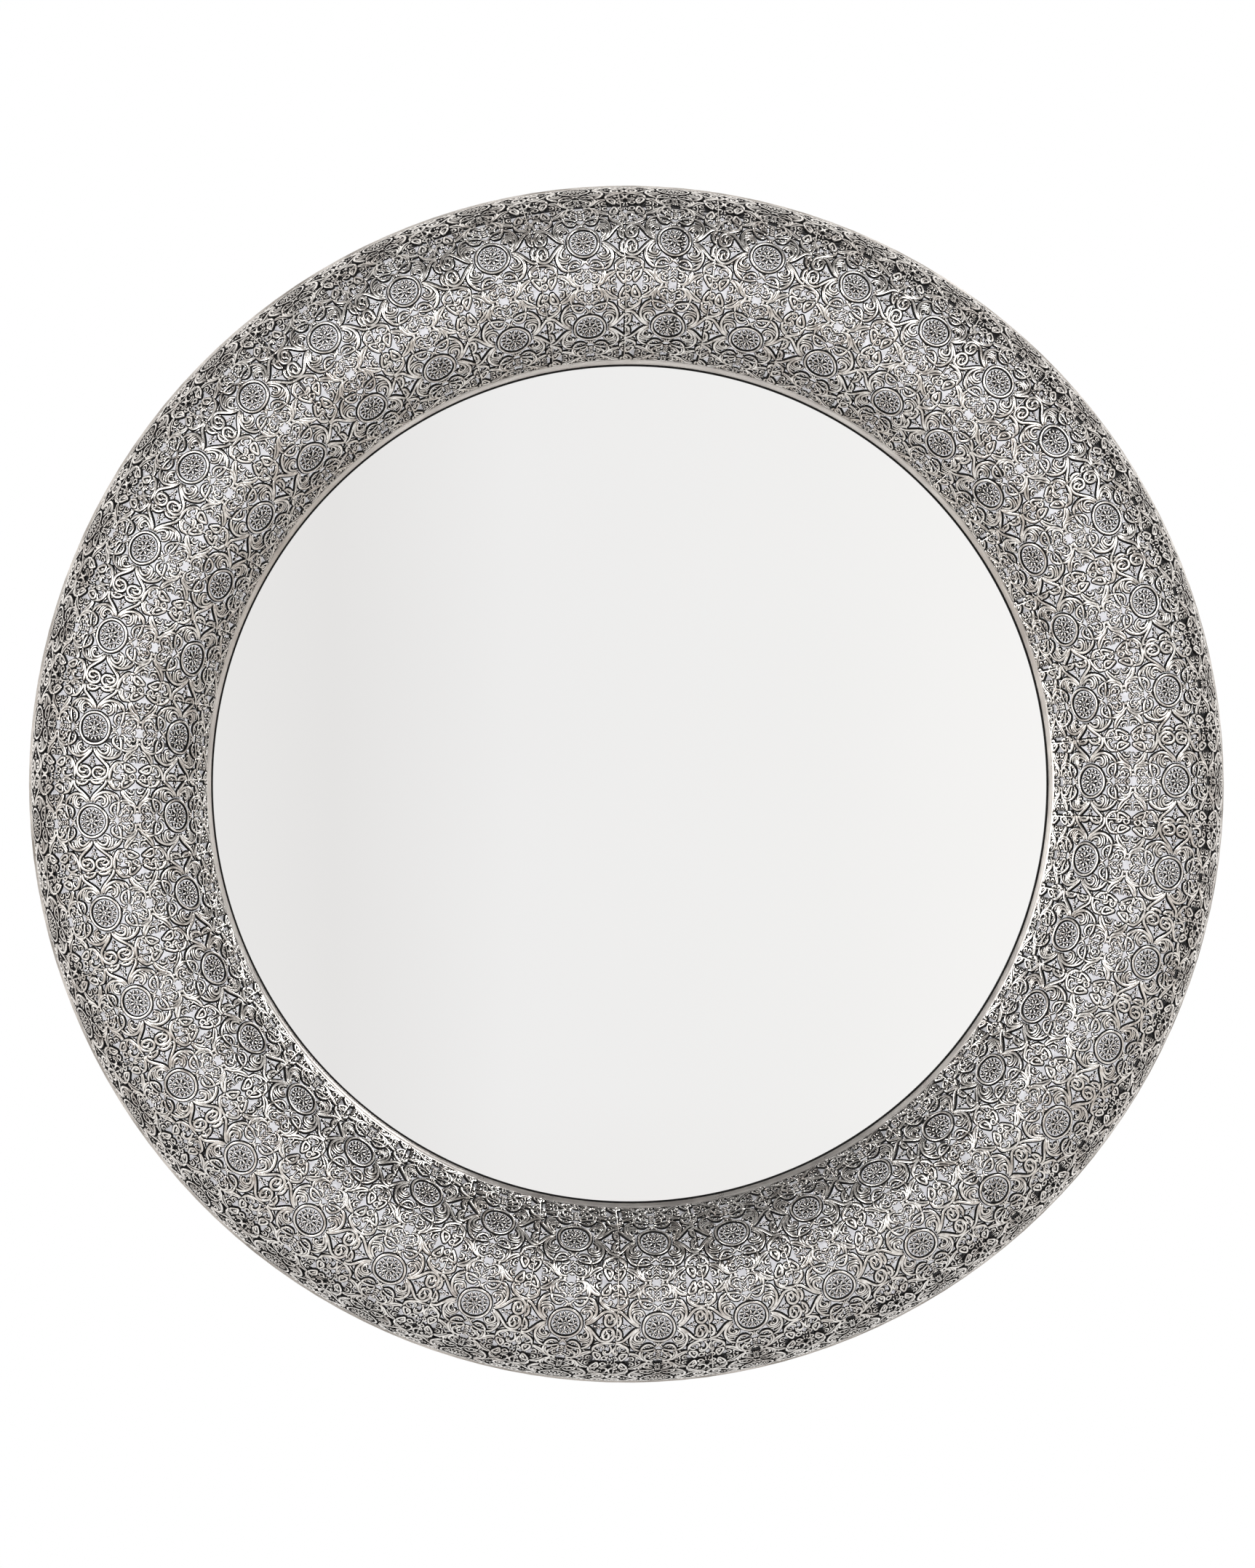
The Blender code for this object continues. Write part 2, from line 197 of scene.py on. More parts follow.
# Strokes of one quadrant of the repeat: (width, closed, points). The medallion's centre
# is (0, 0). x runs round the frame and y across it. Each is mirrored into all quadrants.
QUADRANT = (
    # Long S-line from the medallion, which winds up in the eye between two medallions.
    (MAIN, 0, (12.3, 0.6, 14.5, 1.2, 17, 3, 19.5, 5.8, 22, 8.8, 24.3, 10.9, 27.5, 11.4, 30.6, 10,
               32.2, 6.5, 31.3, 2.6, 28.8, 0.9, 26, 2, 24.9, 5.2, 25.7, 8.3, 27.6, 9.3, 29, 8,
               28.9, 5.5, 27.6, 4.2)),
    # C-shaped leaf: outer contour, curled inner contour and veins.
    (MAIN, 0, (13, 1.8, 16, 3.5, 18, 7, 18.7, 10, 18.2, 13, 17.3, 15, 15.5, 17.5, 12.5, 19.3)),
    (MIDDLE, 0, (12.2, 2.6, 14.2, 4, 15.8, 6.5, 15.8, 8.6, 14.5, 10, 12.6, 10.4, 11.2, 9.6,
              11.3, 8.4, 12.3, 8.2)),
    (FINE, 0, (17.8, 9.2, 16.5, 10.8, 14.5, 12, 12, 12, 10.3, 11, 9.4, 9.5, 9, 8.2)),
    (FINE, 0, (18, 11, 16, 13, 13, 13.6, 10.8, 13.6)),
    (FINE, 0, (17.5, 12.8, 16, 15, 13, 16.3)),
    # Curl beside the stem and the almond under the medallion.
    (FINE, 0, (3.3, 11.7, 2, 12.3, 1, 13.5, 1.5, 15, 3, 16.3)),
    (MIDDLE, 0, (3.3, 15.4, 5, 13.9, 7, 13.5, 9, 14.2, 10.8, 16.3, 11.8, 19)),
    (MIDDLE, 0, (3, 17.3, 5, 18, 7.5, 18.8, 11.8, 19.1)),
    (FINE, 0, (2.5, 17.6, 3, 19.8, 4.5, 21, 6.5, 21.2, 7.2, 20.3)),
    # Lobe beside the stem with its inner scroll.
    (MAIN, 0, (11.8, 19.5, 12.4, 22.5, 11.6, 26, 9.5, 28.6, 6.5, 30)),
    (MIDDLE, 0, (6.8, 22, 8.8, 24, 9, 26.5, 7.5, 28.7, 4.8, 29.3, 2.8, 28.6)),
    # Outline of the rosette between four medallions.
    (MAIN, 0, (9.8, 29, 12.3, 25, 15.2, 22.4, 19, 21.2)),
    (FINE, 0, (11.5, 28.8, 14, 25.8, 17, 23.5, 19.5, 21.8)),
    (MAIN, 0, (19.7, 21.5, 20.2, 18.5, 20.5, 16.8, 22.5, 14.8, 25.5, 13.2, 29, 12.6, 33, 12.4)),
    (FINE, 0, (21.5, 17.5, 23, 15.8, 25.5, 15, 27, 16, 27, 17.5, 26, 18)),
    (MIDDLE, 0, (30.4, 14.2, 32, 16.5, 32.4, 19.3, 31.4, 21.6, 29.4, 22, 28.3, 20.8, 28.9, 19.4)),
    (FINE, 0, (27.2, 19.4, 27.4, 22.2, 28.8, 23.6, 31.6, 23.4)),
    (MIDDLE, 1, (21.2, 21.8, 24.5, 22.3, 25.8, 24.5, 25.2, 27.2, 24.3, 29, 22.3, 26.5, 20.9, 24)),
    (FINE, 1, (28.6, 25.2, 30.5, 27.1, 28.6, 29, 26.9, 27.1)),
    (FINE, 0, (20.5, 13.8, 22, 12.7, 23.5, 12.3)),
    (FINE, 0, (19.5, 26, 17.5, 25.6, 16.3, 27.5, 17, 29.3, 19.5, 29.8)),
    (FINE, 0, (10.4, 20.6, 10.9, 23, 10.2, 25.8, 8.6, 27.6)),
    (FINE, 0, (3.2, 22.8, 4.6, 22.2, 5.9, 22.9, 6.2, 24.3, 5.2, 25.2, 4.1, 24.7, 4.2, 23.9)),
    (FINE, 0, (1.7, 25.6, 2.8, 26.7, 4.4, 27.5, 6, 27)),
    (FINE, 0, (27.2, 2.4, 27.5, 4.4, 26.9, 6.4)),
    (FINE, 0, (30.6, 2.9, 30.9, 5.4, 29.9, 7.6)),
    (FINE, 0, (14.6, 5.2, 13.4, 6.2, 13.6, 7.8)),
    (FINE, 0, (20.6, 17.6, 21.6, 19.6, 23.4, 20.4, 25, 19.8)),
    (FINE, 0, (22.8, 23.4, 24.2, 24.4, 24.3, 26.6)),
    (FINE, 0, (13.4, 24.8, 14.6, 27.2, 14.2, 29.2)),
)

# Strokes that lie on an axis of the repeat, mirrored only across the other axis.
AXIS_STROKES = (
    (FINE, 0, (0, 12, 0, 14.8)),
    (FINE, 0, (0, 18.2, 0, 21.4)),
    (FINE, 0, (0, 25.4, 0, 28.6)),
)

# Leaflets: (x, y, direction in degrees, length, width).
LEAFLETS = (
    (1.0, 21.3, 42, 2.2, 1.1), (1.0, 23.3, 42, 2.2, 1.1), (1.0, 25.3, 42, 2.2, 1.1),
    (1.0, 27.3, 42, 2.2, 1.1), (1.0, 19.2, 60, 2.0, 1.1), (19.2, 0.0, 0, 2.4, 1.6),
    (21.6, 0.9, 25, 1.8, 1.3), (23.4, 1.6, 20, 1.6, 1.2), (25.8, 4.6, 80, 1.4, 1.1),
    (26.3, 6.9, 80, 1.4, 1.1), (5.8, 26.5, 70, 1.6, 1.2), (7.0, 24.0, 60, 1.6, 1.2),
    (8.1, 25.4, 60, 1.2, 1.0), (3.2, 26.8, 40, 1.5, 1.2), (12.4, 30.2, 0, 2.0, 1.2),
    (14.8, 29.6, 70, 1.8, 1.1), (18.4, 27.4, 30, 1.5, 1.1), (31.8, 30.2, 0, 1.2, 1.4),
    (24.1, 18.6, 30, 1.4, 1.1), (25.8, 16.9, 60, 1.3, 1.0), (28.7, 16.2, 100, 1.2, 1.1),
    (9.4, 16.8, 120, 1.8, 1.0), (6.6, 15.9, 150, 2.2, 1.2), (23.6, 24.6, 70, 3.2, 1.4),
    (31.5, 14.4, 90, 1.2, 1.2), (31.0, 26.2, 60, 1.8, 1.3), (4.2, 30.3, 10, 2.2, 1.2),
    (7.2, 30.6, 10, 2.0, 1.1), (16.8, 22.0, 20, 2.0, 0.9), (21.0, 10.2, 45, 1.6, 0.9),
    (24.2, 8.2, 80, 1.6, 0.9), (14.6, 20.8, 20, 1.8, 0.9), (32.2, 27.6, 90, 2.0, 1.2),
    (15.6, 1.2, 20, 1.6, 0.9), (13.2, 9.0, 20, 1.4, 1.0), (2.4, 19.6, 60, 1.6, 1.0),
)

# Leaflet outline: share of the length, share of the width.
LEAF_SHAPE = ((0.0, 0.35), (0.25, 0.9), (0.5, 1.0), (0.8, 0.75), (1.0, 0.2))
LEAF_SPREAD = 1.8

# The medallion's ring and the eye in its middle: (radius, width, points).
MEDALLION_RINGS = ((10.45, 2.9, 30), (1.0, 1.1, 10))

# Rays inside the medallion's ring, as leaflets: (count, radius, share of a step that they
# are turned by, tilt in degrees, length, width).
MEDALLION_RAYS = (
    (8, 3.5, 0.0, 0.0, 3.3, 1.6),
    (16, 7.0, 0.5, 18.0, 2.8, 1.3),
    (8, 5.4, 0.5, 90.0, 1.4, 1.0),
)


def circle(count):
    """Points round a circle of radius 1."""
    turn = np.linspace(0, math.tau, count, endpoint=False)
    return np.stack([np.cos(turn), np.sin(turn)], 1)


def pairs(numbers):
    """A flat list x, y, x, y as points."""
    return np.array(numbers, float).reshape(-1, 2)


def catmull_rom(points, closed, step):
    """A dense smooth line through points, with a sample about every step."""
    count = len(points)
    if closed:
        loop = np.vstack([points[-1], points, points[0], points[1]])
        spans = count
    else:
        loop = np.vstack([2 * points[0] - points[1], points, 2 * points[-1] - points[-2]])
        spans = count - 1
    line = []
    for i in range(spans):
        a, b, c, d = loop[i : i + 4]
        pieces = max(2, int(math.ceil(np.linalg.norm(c - b) / step)))
        for t in np.arange(pieces) / pieces:
            line.append(
                0.5 * (2 * b + (c - a) * t + (2 * a - 5 * b + 4 * c - d) * t * t
                       + (3 * b - a - 3 * c + d) * t ** 3)
            )
    if not closed:
        line.append(points[-1])
    return np.array(line)


def thin_out(line, closed):
    """Keeps the samples where the line has turned or run far enough."""
    keep = [0]
    last = len(line) - 1
    for i in range(1, last):
        run = line[i] - line[keep[-1]]
        ahead = line[i + 1] - line[i]
        first = line[keep[-1] + 1] - line[keep[-1]]
        turned = abs(math.atan2(first[0] * ahead[1] - first[1] * ahead[0], first @ ahead))
        if turned > SHARPEST_TURN or np.linalg.norm(run) > LONGEST_STEP:
            keep.append(i)
    if not closed or keep[-1] != last:
        keep.append(last)
    return line[keep]


def mirrored(points, flip_x, flip_y):
    """The points mirrored across one axis of the repeat, across both, or neither."""
    return points * np.array([-1.0 if flip_x else 1.0, -1.0 if flip_y else 1.0])


def leaflet(x, y, degrees, length, width):
    """A small pointed leaf as a stroke whose width swells in its middle."""
    angle = math.radians(degrees)
    along = np.array([math.cos(angle), math.sin(angle)])
    centre = np.array([x, y])
    line = np.array([centre + along * length * (share - 0.5) for share, _ in LEAF_SHAPE])
    return line, LEAF_SPREAD * width * np.array([spread for _, spread in LEAF_SHAPE])


def cell_strokes():
    """Every stroke of one repeat: (line, widths, height, closed)."""
    strokes = []

    def add(line, widths, closed):
        height = MAIN_HEIGHT if np.max(widths) > FINE else FINE_HEIGHT
        strokes.append((line, widths, height, closed))

    def add_path(width, closed, numbers, flips):
        line = thin_out(catmull_rom(pairs(numbers), closed, SAMPLE_STEP), closed)
        widths = np.full(len(line), width)
        if not closed:
            from_end = np.minimum(np.arange(len(line)), np.arange(len(line))[::-1])
            widths = width * np.clip(END_SHARE + END_GROWTH * from_end, 0, 1)
        for flip_x, flip_y in flips:
            add(mirrored(line, flip_x, flip_y), widths, closed)

    quarters = ((0, 0), (1, 0), (0, 1), (1, 1))
    for width, closed, numbers in QUADRANT:
        add_path(width, closed, numbers, quarters)
    for width, closed, numbers in AXIS_STROKES:
        add_path(width, closed, numbers, ((0, 0), (0, 1)))
    for leaf in LEAFLETS:
        line, widths = leaflet(*leaf)
        x, y = leaf[:2]
        for flip_x, flip_y in quarters:
            if (flip_x and x == 0.0) or (flip_y and y == 0.0):
                continue
            add(mirrored(line, flip_x, flip_y), widths, 0)
    for count, radius, phase, tilt, length, width in MEDALLION_RAYS:
        for k in range(count):
            angle = math.tau * (k + phase) / count
            lean = math.degrees(angle) + tilt * (-1) ** k
            x, y = radius * math.cos(angle), radius * math.sin(angle)
            line, widths = leaflet(x, y, lean, length, width)
            add(line, widths, 0)
    for radius, width, count in MEDALLION_RINGS:
        add(radius * circle(count), np.full(count, width), 1)
    return strokes


def section_table():
    """Angles round the section, and the length along its surface outwards from the crest."""
    turn = np.radians(np.linspace(-SECTION_LIMIT, SECTION_LIMIT, SECTION_SAMPLES))
    slope = np.hypot(HALF_WIDTH * np.cos(turn), HEIGHT * np.sin(turn))
    length = np.concatenate([[0], np.cumsum((slope[1:] + slope[:-1]) / 2 * np.diff(turn))])
    return turn, length - np.interp(0.0, turn, length)


TURNS, LENGTHS = section_table()


def length_at_radius(radius):
    """The length along the surface from the crest to a radius."""
    turn = math.asin((radius - CREST_RADIUS) / HALF_WIDTH)
    return float(np.interp(turn, TURNS, LENGTHS))


def length_at_depth(depth, side):
    """The length at a depth, on the inner side (-1) or the outer side (1) of the crest."""
    turn = side * math.acos((depth - SECTION_BASE) / HEIGHT)
    return float(np.interp(turn, TURNS, LENGTHS))


INNER_END = length_at_depth(HOOP_FRONT + HOOP_CLEARANCE, -1)
OUTER_END = length_at_depth(RIM_FRONT + RIM_CLEARANCE, 1)


def on_section(length, inset):
    """(radius, depth) at a length along the section, an inset under its surface."""
    turn = np.interp(length, LENGTHS, TURNS)
    normal_r = np.sin(turn) / HALF_WIDTH
    normal_d = np.cos(turn) / HEIGHT
    size = np.hypot(normal_r, normal_d)
    radius = CREST_RADIUS + HALF_WIDTH * np.sin(turn) - inset * normal_r / size
    depth = SECTION_BASE + HEIGHT * np.cos(turn) - inset * normal_d / size
    return radius, depth


def surface_radius(length):
    """The radius at a length along the section's surface."""
    return on_section(length, 0.0)[0]


def to_world(radius, turn, depth):
    """World points, in metres, from a radius, a turn about the mirror's axis and a depth."""
    return np.stack([radius * np.cos(turn), -depth, radius * np.sin(turn)], -1) * MM


def clipped(line, widths, closed, low, high):
    """The runs of a stroke that lie between the edges of a panel and its two ends."""
    if closed:
        line = np.vstack([line, line[:1]])
        widths = np.append(widths, widths[0])
    radius = surface_radius(line[:, 1])
    share = line[:, 0] / radius
    room = np.minimum.reduce(
        [
            (share - low) * radius,
            (high - share) * radius,
            line[:, 1] - INNER_END,
            OUTER_END - line[:, 1],
        ]
    )
    inside = room > 0
    if inside.all():
        return [(line[:-1], widths[:-1], True)] if closed else [(line, widths, False)]
    runs = []
    i = 0
    while i < len(line):
        if not inside[i]:
            i += 1
            continue
        j = i
        while j + 1 < len(line) and inside[j + 1]:
            j += 1
        points = list(line[i : j + 1])
        sizes = list(widths[i : j + 1])
        if i > 0:
            t = room[i] / (room[i] - room[i - 1])
            points.insert(0, line[i] + (line[i - 1] - line[i]) * t)
            sizes.insert(0, widths[i])
        if j + 1 < len(line):
            t = room[j] / (room[j] - room[j + 1])
            points.append(line[j] + (line[j + 1] - line[j]) * t)
            sizes.append(widths[j])
        if np.linalg.norm(np.diff(points, axis=0), axis=1).sum() > SHORTEST_RUN:
            runs.append((np.array(points), np.array(sizes), False))
        i = j + 1
    return runs


class Sheet:
    """Collects the strokes of one panel as closed strips: points (u, v, height) and faces."""

    def __init__(self):
        self.points = []
        self.quads = []
        self.quad_parts = []
        self.tips = []
        self.count = 0

    def add_strip(self, line, widths, height, closed, top=RIDGE):
        """A strip along a line, as a loop or with closed ends. top is the kind of its top faces."""
        if len(line) < 2:
            return
        if closed:
            ahead = np.roll(line, -1, 0)
            behind = np.roll(line, 1, 0)
        else:
            ahead = np.vstack([line[1:], 2 * line[-1:] - line[-2:-1]])
            behind = np.vstack([2 * line[:1] - line[1:2], line[:-1]])
        along = ahead - behind
        along /= np.maximum(np.linalg.norm(along, axis=1, keepdims=True), 1e-9)
        across = np.stack([-along[:, 1], along[:, 0]], 1)
        n = len(line)
        m = len(PROFILE)
        grid = np.empty((n, m, 3))
        swell = np.clip(widths / np.max(widths), LOWEST_SWELL, 1.0)
        for k, (side, rise) in enumerate(PROFILE):
            grid[:, k, :2] = line + across * (side * widths / 2)[:, None]
            grid[:, k, 2] = rise * height * swell if rise > 0 else rise * SHEET_DROP
        index = self.count + np.arange(n * m).reshape(n, m)
        self.points.append(grid.reshape(-1, 3))
        self.count += n * m
        last = n if closed else n - 1
        here = index[:last]
        there = np.roll(index, -1, 0)[:last]
        for k, part in enumerate(PROFILE_PARTS):
            k2 = (k + 1) % m
            quads = np.stack([here[:, k], there[:, k], there[:, k2], here[:, k2]], 1)
            self.quads.append(quads)
            self.quad_parts.append(np.full(len(quads), top if part == RIDGE else part))
        if not closed:
            self.close_end(index[0], 1)
            self.close_end(index[-1], -1)

    def close_end(self, row, step):
        """Closes a strip over the section's points in row, facing outwards by the step's sign."""
        for corners in END_QUADS:
            self.quads.append(row[list(corners)][::step][None])
            self.quad_parts.append(np.array([WALL]))
        self.tips.append(row[END_TIP][::step])


def panel_sheet(low, high):
    """One panel's ornament in the flat: strokes cut to the wedge between two angles."""
    sheet = Sheet()
    row = length_at_radius(ROW_RADIUS_OUTER)
    pitch_v = row - length_at_radius(ROW_RADIUS_INNER)
    stretch = pitch_v / (2 * CELL_HALF_V)
    strokes = cell_strokes()
    for repeat_v in (-2, -1, 0, 1, 2):
        for repeat_u in (-1, 0, 1):
            centre = np.array([repeat_u * 2 * CELL_HALF_U, row + repeat_v * pitch_v])
            for line, widths, height, closed in strokes:
                moved = line * np.array([1.0, stretch]) + centre
                if moved[:, 1].max() < INNER_END or moved[:, 1].min() > OUTER_END:
                    continue
                for part, sizes, loop in clipped(moved, widths, closed, low, high):
                    sheet.add_strip(part, sizes, height, loop)
    stations = np.linspace(INNER_END, OUTER_END, EDGE_POINTS)
    radius = surface_radius(stations)
    for share, (width, height, lean, top) in ((high, UPPER_EDGE), (low, LOWER_EDGE)):
        edge = np.stack([share * radius + lean * (stations - row), stations], 1)
        sheet.add_strip(edge, np.full(EDGE_POINTS, width), height, False, top)
    around = np.linspace(low, high, BELT_POINTS)
    for end, side, (inset, width, height) in ((INNER_END, 1, INNER_BELT), (OUTER_END, -1, OUTER_BELT)):
        length = end + side * inset
        belt = np.stack([around * surface_radius(length), np.full(BELT_POINTS, length)], 1)
        sheet.add_strip(belt, np.full(BELT_POINTS, width), height, False)
    return sheet


def new_object(name, data):
    """A new object in the scene."""
    thing = bpy.data.objects.new(name, data)
    bpy.context.scene.collection.objects.link(thing)
    return thing


def sheet_mesh(name, points, sheet, materials):
    """A mesh from a sheet's faces, with materials for ridges, for sides and for undersides."""
    quads = np.vstack(sheet.quads)
    parts = np.concatenate(sheet.quad_parts)
    tips = np.array(sheet.tips)
    mesh = bpy.data.meshes.new(name)
    mesh.vertices.add(len(points))
    mesh.vertices.foreach_set("co", points.astype(np.float32).ravel())
    corners = np.concatenate([quads.ravel(), tips.ravel()]).astype(np.int32)
    mesh.loops.add(len(corners))
    mesh.loops.foreach_set("vertex_index", corners)
    starts = np.concatenate(
        [4 * np.arange(len(quads)), 4 * len(quads) + 3 * np.arange(len(tips))]
    ).astype(np.int32)
    mesh.polygons.add(len(starts))
    mesh.polygons.foreach_set("loop_start", starts)
    slots = np.concatenate([np.choose(parts, PART_SLOTS), np.full(len(tips), PART_SLOTS[WALL])])
    smooth = np.concatenate([(parts == RIDGE) | (parts == SLOPE), np.zeros(len(tips), bool)])
    mesh.polygons.foreach_set("material_index", slots.astype(np.int32))
    mesh.polygons.foreach_set("use_smooth", smooth)
    for material in materials:
        mesh.materials.append(material)
    mesh.update(calc_edges=True)
    mesh.validate()
    return mesh


def waves(shapes, u, v, phases):
    """The sum of waves of the given shapes at each (u, v)."""
    return sum(
        size * np.sin(u / length_u + v / length_v + phase)
        for (size, length_u, length_v), phase in zip(shapes, phases)
    )


def pressed(flat, pitch, low_edge, high_edge, slide, phase):
    """A panel's points (radius, turn, depth), with its edges shifted and its lines wavering."""
    u, v, height = flat.T.copy()
    share = 1.0 - (UPPER_ANGLE - u / surface_radius(v)) / pitch
    reach = v / EDGE_REACH
    low = low_edge[0] + low_edge[1] * reach
    high = high_edge[0] + high_edge[1] * reach
    u += low + (high - low) * share
    middle = np.clip(4 * share * (1 - share), 0, 1)
    u += middle * waves(SIDEWAYS_WAVES, u, v, phase[0:2])
    fade = np.clip(np.minimum(v - INNER_END, OUTER_END - v) / SLIDE_FADE, 0, 1)
    v += fade * (slide + waves(LENGTHWAYS_WAVES, u, v, phase[2:4]))
    size, length_u, length_v = HEIGHT_WAVE
    height += size * np.sin(u / length_u + phase[4]) * np.sin(v / length_v + phase[5])
    radius, depth = on_section(v, RELIEF_INSET - height)
    return radius, u / surface_radius(v), depth


def build_panels(materials):
    """The openwork panels, each slightly off the others, as pressed by hand."""
    rng = np.random.default_rng(HAND_SEED)
    sheets = {pitch: panel_sheet(UPPER_ANGLE - pitch, UPPER_ANGLE) for pitch in (PITCH, CLOSE_PITCH)}
    edge_shift = rng.normal(0.0, EDGE_SHIFT, PANEL_COUNT)
    edge_lean = rng.normal(0.0, EDGE_LEAN, PANEL_COUNT)
    edges = list(zip(edge_shift, edge_lean))
    axis = FIRST_PANEL_ANGLE - PITCH
    for k in range(PANEL_COUNT):
        pitch = CLOSE_PITCH if k in CLOSE_PANELS else PITCH
        axis += pitch
        sheet = sheets[pitch]
        phase = rng.uniform(0, math.tau, 6)
        slide = rng.normal(0.0, SLIDE)
        flat = np.vstack(sheet.points)
        radius, turn, depth = pressed(flat, pitch, edges[k - 1], edges[k], slide, phase)
        points = to_world(radius, turn + axis, depth)
        name = f"openwork_panel_{k + 1:02d}"
        panel = new_object(name, sheet_mesh(name, points, sheet, materials))
        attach(panel, "frame")
        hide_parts(f"gore_panel_{k + 1:02d}")


def turned_piece(name, profile, segments, material):
    """A ring turned from a closed profile of (radius, depth)."""
    turn = np.linspace(0, math.tau, segments, endpoint=False)
    points = []
    for radius, depth in profile:
        points.append(to_world(np.full(segments, radius), turn, np.full(segments, depth)))
    points = np.stack(points, 1)
    n, m = points.shape[:2]
    index = np.arange(n * m).reshape(n, m)
    ahead = np.roll(index, -1, 0)
    faces = []
    for k in range(m):
        k2 = (k + 1) % m
        faces.append(np.stack([index[:, k], index[:, k2], ahead[:, k2], ahead[:, k]], 1))
    mesh = bpy.data.meshes.new(name)
    mesh.from_pydata(points.reshape(-1, 3).tolist(), [], np.vstack(faces).tolist())
    mesh.update()
    mesh.shade_smooth()
    mesh.set_sharp_from_angle(angle=SHARP_ANGLE)
    mesh.materials.append(material)
    return new_object(name, mesh)


def build_hoop(material):
    """The smooth hoop, with its narrow lip towards the glass."""
    hoop = turned_piece("smooth_hoop", HOOP_PROFILE, ROUND_SEGMENTS, material)
    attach(hoop, "frame")
    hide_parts("glass_hoop")


def build_shadow_bead(material):
    """A thin near-black ring in the corner between the glass and the hoop: a painted shadow line where
    the two meet.
    """
    bead = turned_piece("shadow_gap_bead", SHADOW_BEAD_PROFILE, ROUND_SEGMENTS, material)
    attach(bead, "frame")


def build_shade_ring(material):
    """A black ring inside the rim, over the edge of the board: painted shade for the dark corner
    between the board and the rim band.
    """
    shade_ring = turned_piece("painted_shade_ring", SHADE_RING_PROFILE, SHADE_RING_SEGMENTS, material)
    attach(shade_ring, "frame")


class Graph:
    """A node tree, with short ways to add the nodes that materials and the studio share."""

    def __init__(self, tree):
        self.nodes = tree.nodes
        self.links = tree.links

    def spread(self, value, low, high, to_low=0.0, to_high=1.0):
        """Maps a value between two limits to another two."""
        spread = self.nodes.new("ShaderNodeMapRange")
        spread.inputs["From Min"].default_value = low
        spread.inputs["From Max"].default_value = high
        spread.inputs["To Min"].default_value = to_low
        spread.inputs["To Max"].default_value = to_high
        self.links.new(value, spread.inputs["Value"])
        return spread.outputs["Result"]

    def ramp(self, value, stops):
        """Colours by value, from (position, colour) stops."""
        ramp = self.nodes.new("ShaderNodeValToRGB")
        elements = ramp.color_ramp.elements
        for element, (position, colour) in ((elements[0], stops[0]), (elements[1], stops[-1])):
            element.position = position
            element.color = (*colour, 1.0)
        for position, colour in stops[1:-1]:
            elements.new(position).color = (*colour, 1.0)
        self.links.new(value, ramp.inputs["Fac"])
        return ramp.outputs["Color"]

    def blend(self, kind, factor, first, second):
        """One colour over another. Without a factor the second is at full strength."""
        blend = self.nodes.new("ShaderNodeMix")
        blend.data_type = "RGBA"
        blend.blend_type = kind
        if factor is None:
            blend.inputs["Factor"].default_value = 1.0
        else:
            self.links.new(factor, blend.inputs["Factor"])
        self.links.new(first, blend.inputs["A"])
        self.links.new(second, blend.inputs["B"])
        return blend.outputs["Result"]


class Look(Graph):
    """A node material whose colour, roughness and bump are built step by step."""

    def __init__(self, name, roughness, metallic):
        self.material = bpy.data.materials.new(name)
        self.material.use_nodes = True
        super().__init__(self.material.node_tree)
        self.shader = self.nodes["Principled BSDF"]
        self.shader.inputs["Roughness"].default_value = roughness
        self.shader.inputs["Metallic"].default_value = metallic
        self.coords = self.nodes.new("ShaderNodeTexCoord")

    def noise(self, size, detail=3.0, stretch=(1.0, 1.0, 1.0), distortion=0.0):
        """Noise whose features are about size metres across."""
        mapping = self.nodes.new("ShaderNodeMapping")
        mapping.inputs["Scale"].default_value = stretch
        self.links.new(self.coords.outputs["Object"], mapping.inputs["Vector"])
        noise = self.nodes.new("ShaderNodeTexNoise")
        noise.inputs["Scale"].default_value = 1.0 / size
        noise.inputs["Detail"].default_value = detail
        noise.inputs["Distortion"].default_value = distortion
        self.links.new(mapping.outputs["Vector"], noise.inputs["Vector"])
        return noise.outputs["Fac"]

    def depth(self, back, front):
        """0 at one depth from the wall and 1 at another."""
        split = self.nodes.new("ShaderNodeSeparateXYZ")
        self.links.new(self.coords.outputs["Object"], split.inputs["Vector"])
        return self.spread(split.outputs["Y"], -back, -front)

    def share(self, value, low, high):
        """0 below the lower limit of a value, 1 above the upper one."""
        return self.ramp(value, ((low, (0, 0, 0)), (high, (1, 1, 1))))

    def colour(self, socket):
        self.links.new(socket, self.shader.inputs["Base Color"])

    def roughness(self, value, low, high):
        """Roughness between two limits, over the part of the noise where most values lie."""
        self.links.new(self.spread(value, 0.3, 0.7, low, high), self.shader.inputs["Roughness"])

    def bump(self, value, strength, distance):
        bump = self.nodes.new("ShaderNodeBump")
        bump.inputs["Strength"].default_value = strength
        bump.inputs["Distance"].default_value = distance
        self.links.new(value, bump.inputs["Height"])
        self.links.new(bump.outputs["Normal"], self.shader.inputs["Normal"])


def ridge_silver():
    """Rubbed silver on the raised lines, with warm tarnish in broad patches."""
    look = Look("ridge_silver", 0.3, 0.97)
    patches = look.noise(0.022, 4.0, distortion=0.4)
    specks = look.noise(0.0035)
    bright = look.ramp(specks, ((0.30, (0.40, 0.375, 0.35)), (0.60, (0.76, 0.735, 0.705))))
    warm = look.ramp(specks, ((0.35, (0.36, 0.325, 0.30)), (0.62, (0.62, 0.585, 0.55))))
    look.colour(look.blend("MIX", look.share(patches, 0.46, 0.64), bright, warm))
    look.roughness(look.noise(0.006), 0.15, 0.32)
    look.bump(look.noise(0.0016), 0.35, 0.0003)
    return look.material


